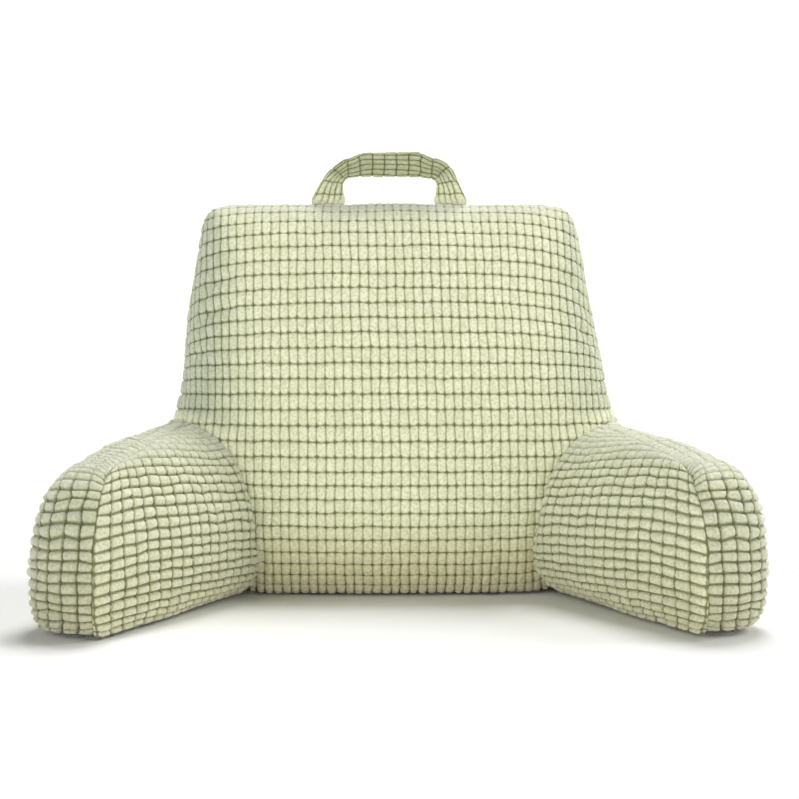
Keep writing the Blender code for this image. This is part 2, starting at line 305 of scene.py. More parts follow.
def arm_points(arm, place, level):
    """Points of an arm at fractional rows of its outline and levels from -1, base, to 1, core."""
    x, y, core_x, core_y, rise = np.moveaxis(smooth_rows(ARM_OUTLINE, place, True), -1, 0)
    top = arm.top_nose + (arm.top_rear - arm.top_nose) * rise
    crown = arm.crown_nose + (arm.crown_rear - arm.crown_nose) * rise
    widest = top * ARM_WIDEST_SHARE
    drop = ARM_BASE_CUT * np.clip(-level, 0, 1)
    foot_width = (1 - drop ** arm.foot) ** (1 / arm.foot)
    crown_width = 1 - np.clip(level, 0, 1) ** 2
    width = np.where(level < 0, foot_width, crown_width)
    height = np.maximum(1 - crown_width ** crown, 0.0) ** (1 / crown)
    z = np.where(level < 0, widest * (1 + level), widest + (top - widest) * height)
    px = core_x + (x - core_x) * width
    py = core_y + (y - core_y) * width
    return columns(arm.side * px, py + SHIFT_Y, z)


def body_tree(rings):
    """A search tree over a stack of rings, closed with a cap at each end."""
    count, around = rings.shape[:2]
    points = [Vector(p) for p in rings.reshape(-1, 3)]
    faces = []
    for ring in range(0, (count - 1) * around, around):
        for j in range(around):
            k = (j + 1) % around
            faces.append((ring + j, ring + k, ring + around + k, ring + around + j))
    faces.append(tuple(reversed(range(around))))
    faces.append(tuple(range((count - 1) * around, count * around)))
    return BVHTree.FromPolygons(points, faces)


def backrest_tree():
    index = np.linspace(0, RIDGE_ROW, 96)
    angle = up_to(0, 2 * pi, 288)
    return body_tree(backrest_points(index[:, None], angle[None, :]))


def arm_tree(arm):
    place = up_to(0, len(ARM_OUTLINE), len(ARM_OUTLINE) * 10)
    if arm.side < 0:
        place = place[::-1]
    level = np.concatenate([up_to(-1, 0, 24), np.linspace(0, 0.98, 60)])
    return body_tree(arm_points(arm, place[None, :], level[:, None]))


# ---- Laying cloth on a body ----

STEP = 0.0015  # spacing of the points that carry the cloth
FRONT_REACH = radians(125)  # how far round the backrest cloth is laid from the front
REAR_REACH = radians(80)  # and from the rear
BACK_HALF, BACK_HIGH = 0.40, 0.66  # cloth laid to each side of its middle, and up it
HALF_AROUND = 200  # points of a level section to each side of its middle
BACK_ROWS, OVER_ROWS, ARM_PLACES = 3000, 200, 1200  # places at which lengths are read
ARM_INSIDE = (0.29, -0.09, 0.08)  # a point inside the right arm
ARM_CLOTH = (-0.024, 0.34)  # cloth laid on an arm, from below its foot to its core
BELT_CLOTH = (-0.010, 0.150)  # and across a strip
BELT_LINES, BELT_SPOTS = 260, 91  # lines across a strip, and points of each
BELT_OVER = 0.18  # share of its width that a line goes past both sides
NO_STRETCH = ((0.0, 0.0), (3.0, 3.0))  # lengths on the body, and of the cloth there


def arc_lengths(curve):
    steps = np.linalg.norm(np.diff(curve, axis=0), axis=1)
    return np.concatenate([[0.0], np.cumsum(steps)])


def read_curve(places, known, points):
    """Points of a curve at places along it; known are the places of its own points."""
    return columns(*(np.interp(places, known, points[:, k]) for k in range(3)))


def at_lengths(curve, lengths, start=0.0):
    """Points of a curve at lengths along it, measured from start."""
    return read_curve(lengths, arc_lengths(curve) - start, curve)


def even(curve, count):
    return at_lengths(curve, np.linspace(0, arc_lengths(curve)[-1], count))


def laid(lengths, table):
    """Lengths along a body where given lengths of cloth lie, from a table of both."""
    body, cloth = zip(*table)
    return np.interp(lengths, cloth, body)


def read_grid(grid, fa, fb):
    """A grid's values at fractional rows and columns; past its last one comes its first."""
    ia, ib = np.floor(fa).astype(int), np.floor(fb).astype(int)
    ta, tb = (share.reshape(share.shape + (1,) * (grid.ndim - 2)) for share in (fa - ia, fb - ib))
    rows, across = grid.shape[:2]

    def row(place):
        place = place % rows
        return grid[place, ib % across] * (1 - tb) + grid[place, (ib + 1) % across] * tb

    return row(ia) * (1 - ta) + row(ia + 1) * ta


class Lay:
    """Cloth lying on a body: lines of cloth, `a` from line to line and `b` along each line."""

    def __init__(self, lines, start, step, inside, convex=False):
        """inside is a point within the body.  On a convex body every normal points away from it."""
        self.lines, self.step, self.inside = lines, step, inside
        self.start = np.array(start)
        self.outside, self.convex = 1, False
        a, b = (low + step * np.arange(0, count, 9) for low, count in zip(start, lines.shape))
        away = self.point(a[:, None], b[None, :]) - inside
        self.outside = 1 if (self.normal(a[:, None], b[None, :]) * away).sum() > 0 else -1
        self.convex = convex

    def point(self, a, b):
        return read_grid(self.lines, *(
            np.clip((place - self.start[k]) / self.step, 0, self.lines.shape[k] - 1.001)
            for k, place in enumerate((a, b))))

    def normal(self, a, b, reach=0.004):
        along_a = self.point(a + reach, b) - self.point(a - reach, b)
        along_b = self.point(a, b + reach) - self.point(a, b - reach)
        n = np.cross(along_a, along_b)
        n *= self.outside / np.maximum(np.linalg.norm(n, axis=-1, keepdims=True), 1e-9)
        if self.convex:
            away = self.point(a, b) - self.inside
            n = np.where((n * away).sum(axis=-1, keepdims=True) < 0, -n, n)
        return n

    def nearest(self, points):
        """The cloth's own (a, b) nearest to given points."""
        flat = self.lines.reshape(-1, 3)
        found = [int(np.argmin(((flat - p) ** 2).sum(axis=1))) for p in points]
        course = columns(*np.unravel_index(found, self.lines.shape[:2])).astype(float)
        for _ in range(3):
            course[1:-1] = (course[:-2] + 2 * course[1:-1] + course[2:]) / 4
        return self.start + course * self.step


def backrest_lay(rear):
    """Cloth on the front or rear of the backrest; a is the way up, b the way across.

    The cloth of the front goes on over the ridge and a little way down the rear."""
    fine = np.linspace(0, RIDGE_ROW, BACK_ROWS)
    over = np.linspace(RIDGE_ROW, OVER_RIDGE_ROW, OVER_ROWS)[1:]
    index = fine if rear else np.concatenate([fine, over])
    turn = np.full(len(index), pi if rear else 0.0)
    turn[len(fine):] = pi
    height = arc_lengths(backrest_points(index, turn))
    up = np.arange(0, height[-1], STEP)
    b = np.arange(-BACK_HALF, BACK_HALF, STEP)
    around = np.linspace(-1, 1, 2 * HALF_AROUND + 1)
    lines = []
    for place, behind in zip(np.interp(up, height, index), up > height[len(fine) - 1]):
        middle, reach = (pi, -REAR_REACH) if rear or behind else (0.0, FRONT_REACH)
        curve = backrest_points(np.full_like(around, place), middle + reach * around)
        lines.append(at_lengths(curve, b, arc_lengths(curve)[HALF_AROUND]))
    level = Lay(np.array(lines), (0.0, b[0]), STEP, BACKREST_MIDDLE)

    a = np.arange(0, BACK_HIGH, STEP)[:, None]
    up = laid(a, FOOT_GATHER) + 0 * b
    past = np.maximum(np.abs(b) - BOW_START, 0)
    bow = np.where(b < 0, *BOW) * past ** 2
    up = up - bow * ease(up, *BOW_RANGE)
    return Lay(level.point(up, b + 0 * up), (0.0, b[0]), STEP, BACKREST_MIDDLE, True)


def arm_lay(arm, first, last):
    """Lines of cloth up an arm from its base to its core; a runs from the nose to the rear."""
    fine = np.linspace(first, last, ARM_PLACES)
    length = arc_lengths(arm_points(arm, fine, np.zeros_like(fine)))
    a = np.arange(0, length[-1], STEP)
    level = np.concatenate([up_to(-1, 0, 80), np.linspace(0, 1, 160)])
    b = np.arange(*ARM_CLOTH, STEP)
    lines = []
    for cloth, place in zip(a, np.interp(laid(a, ARM_STRETCH), length, fine)):
        lift = NOSE_LIFT * (1 - ease(cloth, 0.0, NOSE_LIFT_REACH))
        up = laid(b + ARM_CLIMB * cloth + lift, ARM_RISE)
        lines.append(at_lengths(arm_points(arm, np.full_like(level, place), level), up))
    inside = np.array(ARM_INSIDE) * [arm.side, 1, 1] + [0, SHIFT_Y, 0]
    return Lay(np.array(lines), (0.0, b[0]), STEP, inside)


def belt_lay(tree, inner, outer, hub, stretch=NO_STRETCH):
    """Lines of cloth across a strip, from an inner seam to an outer one, on the body's surface.

    hub gives the point inside the body from which the strip is laid.  Returned with the lines
    are the strip's width and its a at each of them."""
    across = np.linspace(-BELT_OVER, 1 + BELT_OVER, BELT_SPOTS)
    rows = np.linspace(0, len(inner) - 1, BELT_LINES)
    sides = (read_curve(rows, np.arange(len(side)), side) for side in (inner, outer))
    bands = []
    for p, q in zip(*sides):
        centre = hub((p + q) / 2)
        hits = []
        for spot in p + (q - p) * across[:, None]:
            hit = tree.ray_cast(Vector(centre), Vector(spot - centre).normalized())[0]
            hits.append(spot if hit is None else np.array(hit))
        bands.append(hits)
    bands = np.array(bands)
    length = arc_lengths(bands[:, BELT_SPOTS // 2])
    a = np.arange(0, np.interp(length[-1], *zip(*stretch)), STEP * 2)
    b = np.arange(*BELT_CLOTH, STEP * 2)
    lines, widths = [], []
    for s in laid(a, stretch):
        line = np.array([read_curve(s, length, bands[:, w]) for w in range(BELT_SPOTS)])
        arcs = arc_lengths(line)
        start = float(np.interp(0.0, across, arcs))
        widths.append(float(np.interp(1.0, across, arcs)) - start)
        lines.append(at_lengths(line, b, start))
    inside = hub((inner + outer)[len(inner) // 2] / 2)
    return Lay(np.array(lines), (0.0, b[0]), STEP * 2, inside), np.array(widths), a


# ---- Panels ----

def snap_to_outline(points, outline):
    """Distance inside the outline (negative outside), and the points with outer ones brought in."""
    x, y = points.T
    inside = np.zeros(len(points), dtype=bool)
    best = np.full(len(points), np.inf)
    nearest = points.copy()
    for start, end in zip(outline, np.roll(outline, -1, axis=0)):
        way = end - start
        t = np.clip(((points - start) @ way) / max(way @ way, 1e-12), 0, 1)
        spot = start + t[:, None] * way
        far = np.hypot(*(points - spot).T)
        closer = far < best
        best[closer] = far[closer]
        nearest[closer] = spot[closer]
        if way[1] != 0:
            crosses = (start[1] > y) != (end[1] > y)
            inside ^= crosses & (x < way[0] * (y - start[1]) / way[1] + start[0])
    return np.where(inside, best, -best), np.where(inside[:, None], points, nearest)


def cell_stops(weave, way, first, last):
    """Cell coordinates of the grid's lines over whole cells, from first to last, one way."""
    edge = [(weave.gap[way] + weave.edge * share) / weave.pitch[way] for share in weave.stops]
    stops = [0.0] + [s for s in edge if s < HALF_CELL]
    stops += [1 - s for s in reversed(stops[1:])]
    return np.array([i + s for i in range(first, last) for s in stops] + [last], dtype=float)


def groove_drop(weave, way, c):
    """How far the round edge of a cell has dropped: 1 in a groove, 0 on the cell's crown."""
    past = (0.5 - np.abs(c - np.floor(c) - 0.5)) * weave.pitch[way] - weave.gap[way]
    return 1 - np.sqrt(1 - (1 - np.clip(past / weave.edge, 0, 1)) ** 2)


def cell_rise(ca, cb, weave, deeper):
    """The rounded rise of the cells: 1 on a crown, 0 in a full groove, less at a crossing."""
    drop_a = weave.drop[0] * groove_drop(weave, 0, ca)
    drop_b = (weave.drop[1] + deeper) * groove_drop(weave, 1, cb)
    return 1 - np.minimum(np.hypot(drop_a, drop_b), CROSSING_DROP)


def stray(ca, cb, seed):
    """Smooth random shifts, set at the crossings of the grooves."""
    return read_grid(np.random.default_rng(seed).normal(0, 1, (128, 128)), ca, cb)


def crease_depth(place, creases):
    """Troughs along creases, each a polyline with its depth and its half width."""
    depth = np.zeros(len(place))
    for points, deep, wide in creases:
        far = np.full(len(place), np.inf)
        for start, end in zip(points, points[1:]):
            way = end - start
            t = np.clip((place - start) @ way / (way @ way), 0, 1)
            far = np.minimum(far, np.linalg.norm(place - start - t[:, None] * way, axis=1))
        share = far / wide
        depth += deep * (np.exp(-share ** 2) - LIP * np.exp(-(share - LIP_AT) ** 2))
    return depth


def wander(a, b, seed, reach):
    """A slow, smooth unevenness, mostly between -1 and 1."""
    rng = np.random.default_rng(seed)
    total = 0
    for _ in range(5):
        ka, kb = rng.normal(0, 1 / reach, 2)
        total = total + np.sin(ka * a + kb * b + rng.uniform(0, 2 * pi))
    return total / 3


def depth_in(point, other):
    """How deep a point is inside another body; negative outside.

    Beside a sharp edge the way to the surface is far off its normal, and counts as outside."""
    spot, normal, _, _ = other.find_nearest(Vector(point), NEARBY)
    if spot is None:
        return -NEARBY
    away = Vector(point) - spot
    within = away.dot(normal) < -0.5 * away.length
    return away.length if within else -away.length


Grid = namedtuple("Grid", "ca cb low shape a b inside")


def cut_cloth(outline, weave, seam, seed):
    """A panel's grid: the cell of each point, its place in the cloth, and how far inside it is."""
    zero, pitch = np.array(weave.zero), np.array(weave.pitch)
    low = np.floor((outline.min(axis=0) - seam.flange - zero) / pitch).astype(int)
    high = np.ceil((outline.max(axis=0) + seam.flange - zero) / pitch).astype(int)
    stops = [cell_stops(weave, way, low[way], high[way]) for way in (0, 1)]
    ca, cb = (g.ravel() for g in np.meshgrid(*stops, indexing="ij"))
    a, b = zero[0] + ca * pitch[0], zero[1] + cb * pitch[1]
    a = a + DRIFT_A * wander(a, b, seed, DRIFT_REACH) + weave.stray * stray(ca, cb, seed + 20)
    drift = wander(DRIFT_SLOWER * a, b, seed + 50, DRIFT_REACH)
    b = b + DRIFT_B * drift + weave.stray * stray(ca, cb, seed + 70)
    inside, snapped = snap_to_outline(columns(a, b), outline)
    return Grid(ca, cb, low, (len(stops[0]), len(stops[1])), *snapped.T, inside)


def puffed(cloth, weave, seed, pressed, up, deeper):
    """How high the cells stand, measured from the crown of an even one."""
    rng = np.random.default_rng(seed)
    size = rng.normal(1.0, PUFF_SPREAD, (400, 400))
    uneven = size[np.floor(cloth.ca).astype(int) % 400, np.floor(cloth.cb).astype(int) % 400]
    puff = weave.puff * pressed * (1 - TOP_FLATTER * ease(up, *TOP_RANGE))
    rise = cell_rise(cloth.ca, cloth.cb, weave, deeper)
    rough = PILE_ROUGH * pressed * rise * rng.normal(0, 1, len(rise))
    return puff * rise * uneven + rough - puff


def join_to(other, cloth, place, normal, keep, seed):
    """Cloth sunk where it meets another body, or spanning the corner to it high up.

    Returned with it are the share of the span, and which points the other body doesn't hide."""
    near = np.array([depth_in(p, other) if k else -1.0 for p, k in zip(place, keep)])
    far = np.clip(-near, 0, None)
    sink = JOIN_DEPTH * np.exp(-(far / JOIN_REACH) ** 2)
    sink += PUCKER * np.exp(-far / PUCKER_REACH) * wander(cloth.a, cloth.b, seed + 31, PUCKER_SIZE)
    fillet = ease(place[:, 2], *FILLET_Z) * np.exp(-(far / FILLET_REACH) ** 2)
    sink -= FILLET_HEIGHT * fillet
    return place - normal * sink[:, None], fillet, near < HIDDEN_DEPTH


def grid_faces(cloth, place, keep, seam):
    """The grid's faces that lie on kept cloth, without those that shrank to nothing."""
    index = np.arange(cloth.shape[0] * cloth.shape[1]).reshape(cloth.shape)
    corners = np.stack([index[:-1, :-1], index[:-1, 1:], index[1:, 1:], index[1:, :-1]], axis=-1)
    faces = corners.reshape(-1, 4)
    faces = faces[keep[faces].all(axis=1)]
    faces = faces[(cloth.inside[faces] > -seam.flange).any(axis=1)]
    p = place[faces]
    area = np.linalg.norm(np.cross(p[:, 2] - p[:, 0], p[:, 3] - p[:, 1]), axis=1)
    return faces[area > 1e-9]


def new_object(name, data):
    made = bpy.data.objects.new(name, data)
    bpy.context.scene.collection.objects.link(made)
    return made


def add_map(mesh, name, pairs):
    """A UV map from one pair of numbers for each corner of the mesh."""
    layer = mesh.uv_layers.new(name=name)
    layer.uv.foreach_set("vector", pairs.astype(np.float32).ravel())


def make_panel(name, lay, outline, weave, others, material, seed, seam=PLAIN_SEAM, pressed=1.0,
               seam_share=None, creases=()):
    """A piece of the cover: cut to its outline, raised into cells, turned in at its seams.

    outline is in the cloth's (a, b) metres.  others are the bodies it meets.  pressed under 1
    flattens the cells, and seam_share says how deep the seam is at each place.  The map named
    cells tells the material where the grooves are, and lie how far the cloth faces up, and its
    share of a joined body (positive) or of painted shade where it faces sideways (negative)."""
    cloth = cut_cloth(outline, weave, seam, seed)
    keep = cloth.inside > -seam.flange * FLANGE_SPARE
    place, normal = lay.point(cloth.a, cloth.b), lay.normal(cloth.a, cloth.b)
    up = np.clip(normal[:, 2], 0, 1)
    # aside is how far the cloth faces sideways; shaded is its share of painted side shade, less on the
    # right.
    aside = weave.sideways * ease(np.abs(normal[:, 0]), *SIDE_RANGE)
    shaded = aside * np.where(normal[:, 0] < 0, *SIDE_SHARE)
    deeper = FOOT_DEEPER * ease(place[:, 2], *FOOT_Z) + SIDE_DEEPER * aside

    near_seam = np.exp(-np.clip(cloth.inside, 0, None) ** 2 / seam.reach ** 2)
    if seam_share is not None:
        near_seam = near_seam * seam_share(place)
    height = (PUFF_TOP + puffed(cloth, weave, seed, pressed, up, deeper)) * (1 - near_seam)
    height -= seam.depth * pressed * near_seam
    height += pressed * SWELL * wander(cloth.a, cloth.b, seed + 9, SWELL_REACH)
    height -= crease_depth(place, creases)
    height -= np.clip(-cloth.inside, 0, seam.flange)
    place = place + normal * height[:, None]
    joined = np.zeros(len(place))
    for other in others:
        place, fillet, seen = join_to(other, cloth, place, normal, keep, seed)
        joined = np.maximum(joined, fillet)
        keep = keep & seen
    place[:, 2] = np.maximum(place[:, 2], FLOOR_CLEAR)

    faces = grid_faces(cloth, place, keep, seam)
    if lay.outside > 0:
        faces = faces[:, ::-1]
    used, faces = np.unique(faces, return_inverse=True)
    mesh = bpy.data.meshes.new(name)
    mesh.from_pydata(place[used].tolist(), [], faces.reshape(-1, 4).tolist())
    cells = columns(cloth.ca, cloth.cb)
    flat = (cells[used] - cloth.low) * weave.pitch
    add_map(mesh, "lie", columns(up, joined - shaded)[used][faces.ravel()])
    add_map(mesh, "cells", cells[used][faces.ravel()])
    add_map(mesh, "OFBake", (0.01 + 0.98 * flat / flat.max())[faces.ravel()])
    mesh.shade_smooth()
    mesh.materials.append(material)
    return new_object(name, mesh)


# ---- Materials ----

PALETTE = (
    (0.86, 0.87, 0.65),  # light tufts
    (0.62, 0.64, 0.40),  # dark tufts
    (0.54, 0.56, 0.33),  # painted shade down the sides of a cell
    (0.34, 0.355, 0.17),  # the grooves: the cloth's darker ground and painted shade
    (0.22, 0.23, 0.105),  # and where they cross, darker with more painted shade
)
# Painted light and shade: one cloth, lighter on the backrest and darker on the arms and strap.
BACK_LEVEL, ARM_LEVEL, STRAP_LEVEL = 1.06, 0.91, 0.98
TOP_SHADE = (0.90, 0.90, 0.95)  # painted shade: where it faces up, the cloth is a little darker and greyer
STANDING_SHADE = (0.80, 0.80, 0.80)  # painted shade: an arm's strip is darker where it stands upright
SIDE_SHADE = (0.67, 0.70, 0.73)  # painted shade: the backrest is darker where it faces sideways

# A painted shade takes hold between two heights: its colour, and how much of it.
Shade = namedtuple("Shade", "colour from_z full_z share")
BACK_FOOT = Shade((0.80, 0.74, 0.65), 0.120, 0.010, 1.0)  # painted shade: darker and browner near the floor
# half as much of that painted shade on the arms
ARM_FOOT = BACK_FOOT._replace(share=0.5)
STRAP_GRIP = Shade((0.66, 0.67, 0.60), 0.512, 0.530, 1.0)  # painted shade: darker in the grip
SHEEN_TINT = (0.93, 0.94, 0.93, 1.0)
BLOTCH_SCALE, PILE_SCALE, FIBRE_SCALE, SHAKE_SCALE = 40.0, 330.0, 1500.0, 380.0  # a metre
MM = 1000.0
SHAKE = 0.3  # mm that the edges of the grooves are unsteady
GROOVE_BLUR = 0.75  # mm over which a groove's ground fades
MIX_SHARE, MIX_FIRST, MIX_SECOND, MIX_RESULT = 0, 6, 7, 2  # sockets of a colour mix


def new_material(name):
    material = bpy.data.materials.new(name)
    material.use_nodes = True
    return material, Nodes(material), material.node_tree.nodes["Principled BSDF"]


class Nodes:
    """A short way to write the node tree of a material or a world."""

    def __init__(self, owner):
        self.tree = owner.node_tree

    def fill(self, node, inputs):
        for key, value in dict(inputs).items():
            if isinstance(value, bpy.types.NodeSocket):
                self.tree.links.new(value, node.inputs[key])
            else:
                node.inputs[key].default_value = value

    def add(self, kind, inputs=(), **settings):
        node = self.tree.nodes.new(kind)
        for key, value in settings.items():
            setattr(node, key, value)
        self.fill(node, inputs)
        return node

    def xyz(self, vector):
        return self.add("ShaderNodeSeparateXYZ", {0: vector}).outputs

    def math(self, operation, first, second=0.0):
        return self.add("ShaderNodeMath", {0: first, 1: second}, operation=operation).outputs[0]

    def between(self, value, low, high, to_low=0.0, to_high=1.0):
        node = self.add("ShaderNodeMapRange", {
            "Value": value, "From Min": low, "From Max": high, "To Min": to_low, "To Max": to_high})
        node.interpolation_type = "SMOOTHSTEP"
        return node.outputs["Result"]

    def noise(self, coordinates, scale, detail=2.0, roughness=0.6):
        return self.add("ShaderNodeTexNoise", {
            "Vector": coordinates, "Scale": scale, "Detail": detail, "Roughness": roughness}).outputs

    def mix(self, share, first, second, blend="MIX"):
        first, second = (
            c if isinstance(c, bpy.types.NodeSocket) else (*c, 1.0) for c in (first, second))
        sockets = {MIX_SHARE: share, MIX_FIRST: first, MIX_SECOND: second}
        node = self.add("ShaderNodeMix", sockets, data_type="RGBA", blend_type=blend)
        return node.outputs[MIX_RESULT]


def plush(name, weave, level, shaded, standing=0.0):
    """Check plush: pale puffs with short mottled pile, darker ground in the grooves.

    level says how light it is: one cloth made lighter or darker for each part, as painted light and
    shade.  shaded paints shade on it by height, and standing says how far it takes the painted shade
    of upright cloth.  Painted shade also lies down the sides of the cells, in the grooves and on the
    backrest's sides.  Where it faces up, the pile lies over the grooves."""
    light, shade, flank, groove, dot = (tuple(level * c for c in colour) for colour in PALETTE)
    material, n, shader = new_material(name)
    # lie: how far the cloth faces up, and the share of a join less the share of painted side shade;
    # turned is that painted shade on the backrest's sides.
    lie = n.xyz(n.add("ShaderNodeUVMap", uv_map="lie").outputs["UV"])
    facing_up, joined = lie[0], lie[1]
    turned = n.between(joined, 0.0, -1.0)
    covered = n.math("MAXIMUM", n.between(facing_up, 0.50, 0.88, 0.0, weave.cover),
                     n.between(joined, 0.2, 1.0, 0.0, weave.cover))
    bare = n.math("SUBTRACT", 1.0, covered)

    # How deep in the grooves a point lies, and how far outside its cell's round corners, in mm.
    cells = n.add("ShaderNodeUVMap", uv_map="cells").outputs["UV"]
    where = n.add("ShaderNodeTexCoord").outputs["Object"]
    shake = n.xyz(n.noise(where, SHAKE_SCALE, 1.0)["Color"])
    cell = n.xyz(cells)
    past, grooves = [], []
    for i, (pitch, gap, dark) in enumerate(zip(weave.pitch, weave.gap, weave.dark)):
        to_groove = n.math("MULTIPLY", n.math("PINGPONG", cell[i], 0.5), pitch * MM)
        unsteady = n.math("ADD", to_groove, n.between(shake[i], 0.3, 0.7, -SHAKE, SHAKE))
        past.append(n.math("SUBTRACT", (gap + weave.corner) * MM, unsteady))
        grooves.append(n.between(unsteady, gap * MM, gap * MM + GROOVE_BLUR, dark, 0.0))
    squares = [n.math("POWER", n.math("MAXIMUM", p, 0.0), 2.0) for p in past]
    round_part = n.math("SQRT", n.math("ADD", *squares))
    inner_part = n.math("MINIMUM", n.math("MAXIMUM", *past), 0.0)
    edge = n.math("SUBTRACT", n.math("ADD", round_part, inner_part), weave.corner * MM)
    # Painted shade: the grooves are darker on the backrest's sides.
    deeper = n.math("MULTIPLY", n.math("MAXIMUM", *grooves), n.math("ADD", 1.0, turned))

    blotch = n.noise(where, BLOTCH_SCALE, 3.0)["Fac"]
    pile = n.noise(where, PILE_SCALE)["Fac"]
    tone = n.mix(n.between(pile, 0.34, 0.62, 0.8, 0.0), light, shade)
    tone = n.mix(n.between(blotch, 0.35, 0.75, 0.0, 0.30), tone, shade)
    # Painted shade down the rounded sides of the cells and in the grooves, over the cloth's darker
    # ground there, darkest where the grooves cross.
    for share, colour in ((n.between(edge, -1.8, 0.0, 0.0, 0.60), flank), (deeper, groove),
                          (n.between(edge, 0.1, 1.0), dot)):
        tone = n.mix(n.math("MULTIPLY", bare, share), tone, colour)
    # Painted shade: on the backrest's sides, on upright strips, darker and greyer on cloth that faces
    # up, and by height.
    z = n.xyz(where)[2]
    for share, colour in (
            (turned, SIDE_SHADE),
            (n.between(facing_up, 0.30, 0.80, standing, 0.0), STANDING_SHADE),
            (n.between(facing_up, 0.45, 0.90), TOP_SHADE),
            (n.between(z, shaded.from_z, shaded.full_z, 0.0, shaded.share), shaded.colour)):
        tone = n.mix(share, tone, colour, "MULTIPLY")

    fibre = n.noise(where, FIBRE_SCALE, 2.0, 0.7)["Fac"]
    bump = n.add("ShaderNodeBump", {"Height": pile, "Strength": 0.8, "Distance": 0.0014})
    fine = n.add("ShaderNodeBump", {
        "Height": fibre, "Strength": 0.4, "Distance": 0.0005, "Normal": bump.outputs[0]})
    n.fill(shader, {
        "Base Color": tone, "Normal": fine.outputs[0], "Roughness": 0.95, "Specular IOR Level": 0.12,
        "Sheen Weight": 0.75, "Sheen Roughness": 0.45, "Sheen Tint": SHEEN_TINT})
    return material


# ---- Backrest ----

SEAM_POINTS = 90  # on each side of a seam's course
HUB_X, HUB_TOP = (-0.175, 0.162), 0.415  # the middle that the strip is laid from


def side_seam(panel, side):
    """A side seam of the front or rear panel, from the foot to the top."""
    share = np.linspace(0, 1, 160)
    angle = panel.foot_angle + (panel.top_angle - panel.foot_angle) * share
    return even(backrest_points(share * panel.top_row, side * angle), SEAM_POINTS)


def top_seam(panel):
    """The top seam of a panel behind the ridge, from the left side to the right."""
    turn = np.linspace(2 * pi - panel.top_angle, panel.top_angle, 160)
    return even(backrest_points(np.full_like(turn, panel.top_row), turn), SEAM_POINTS)


def backrest_hub(middle):
    return np.array([np.clip(middle[0], *HUB_X), middle[1], min(middle[2], HUB_TOP)])


def strip_sides(a, widths, count, lap=0.0):
    """The inner and the outer side of a strip in its cloth's (a, b); lap widens it on both."""
    picks = np.linspace(0, len(a) - 1, count).astype(int)
    return columns(a[picks], 0 * a[picks] - lap), columns(a[picks], widths[picks] + lap)


def dress_backrest(tree, arm_trees):
    material = plush("plush_backrest", BACK_WEAVE, BACK_LEVEL, BACK_FOOT)
    tucks = []
    for course, depth, half_width in TUCKS:
        spots = [tree.find_nearest(Vector((x, TUCK_Y + SHIFT_Y, z)))[0] for x, z in course]
        tucks.append((np.array(spots), depth, half_width))
    made, courses = [], []
    for panel in (FRONT_PANEL, REAR_PANEL):
        left, right = side_seam(panel, -1), side_seam(panel, 1)
        courses.append(np.concatenate([left, top_seam(panel), right[::-1]]))
        lay = backrest_lay(panel.rear)
        made.append(make_panel(panel.name, lay, lay.nearest(courses[-1]), panel.weave, arm_trees,
                               material, panel.seed, creases=tucks))
    lay, widths, a = belt_lay(tree, *courses, backrest_hub)
    inner, outer = strip_sides(a, widths, SEAM_POINTS, SEAM_LAP)
    made.append(make_panel("backrest_strip", lay, np.concatenate([inner, outer[::-1]]), BACK_WEAVE,
                           arm_trees, material, BACK_STRIP_SEED, creases=tucks))
    turn = up_to(0, 2 * pi, 96)
    ring = backrest_points(np.zeros_like(turn), turn)
    made.append(make_base("backrest_base_panel", ring, [], material, BACK_WEAVE))
    return made


def make_base(name, ring, others, material, weave):
    """The flat panel that a filled body rests on."""
    low, high = ring.min(axis=0) - BASE_SPARE, ring.max(axis=0) + BASE_SPARE
    y, x = np.meshgrid(*(np.arange(low[k], high[k], STEP) for k in (1, 0)), indexing="ij")
    lines = columns(x, y, np.full_like(x, BASE_HEIGHT))
    above = np.array([x.mean(), y.mean(), BASE_INSIDE_Z])
    lay = Lay(lines, (low[1], low[0]), STEP, above)
    return make_panel(name, lay, ring[:, 1::-1], weave._replace(stops=PLAIN_STOPS), others,
                      material, BASE_SEED, BASE_SEAM, BASE_PRESSED)


# ---- Arms ----

ARM_SEAM_POINTS = 60
INNER_ROWS, OUTER_ROWS = (9.5, -0.6), (12.0, 21.5)  # of the outline, from the nose back
ARM_HUB_IN, ARM_HUB_Y, ARM_HUB_TOP = 0.012, -0.165, 0.128  # the middle its strip is laid from
STRIP_FOOT_Z = 0.004  # lower down its course stays as the table has it


def arm_hub(middle):
    side = copysign(1, middle[0])
    return np.array([middle[0] - side * ARM_HUB_IN, max(middle[1], ARM_HUB_Y + SHIFT_Y),
                     min(middle[2], ARM_HUB_TOP)])


def strip_course(arm, tree):
    """The two sides of an arm's strip, brought onto the arm's surface above its base."""
    both = smooth_rows(STRIP_COURSE, np.linspace(0, len(STRIP_COURSE) - 1, 160))
    sides = []
    for curve in (both[:, :3], both[:, 3:]):
        curve = curve * [arm.side, 1, 1] + [0, SHIFT_Y, 0]
        sides.append(np.array([
            tree.find_nearest(Vector(p))[0] if p[2] > STRIP_FOOT_Z else p for p in curve]))
    return sides


def top_seam_share(place):
    """The strip's seam is deep at the nose and shallow along the arm's top."""
    over_top = ease(place[:, 2], *SEAM_FADE_Z)
    back = ease(place[:, 1] - SHIFT_Y, *SEAM_FADE_Y)
    return 1 - SEAM_FADE * over_top * back


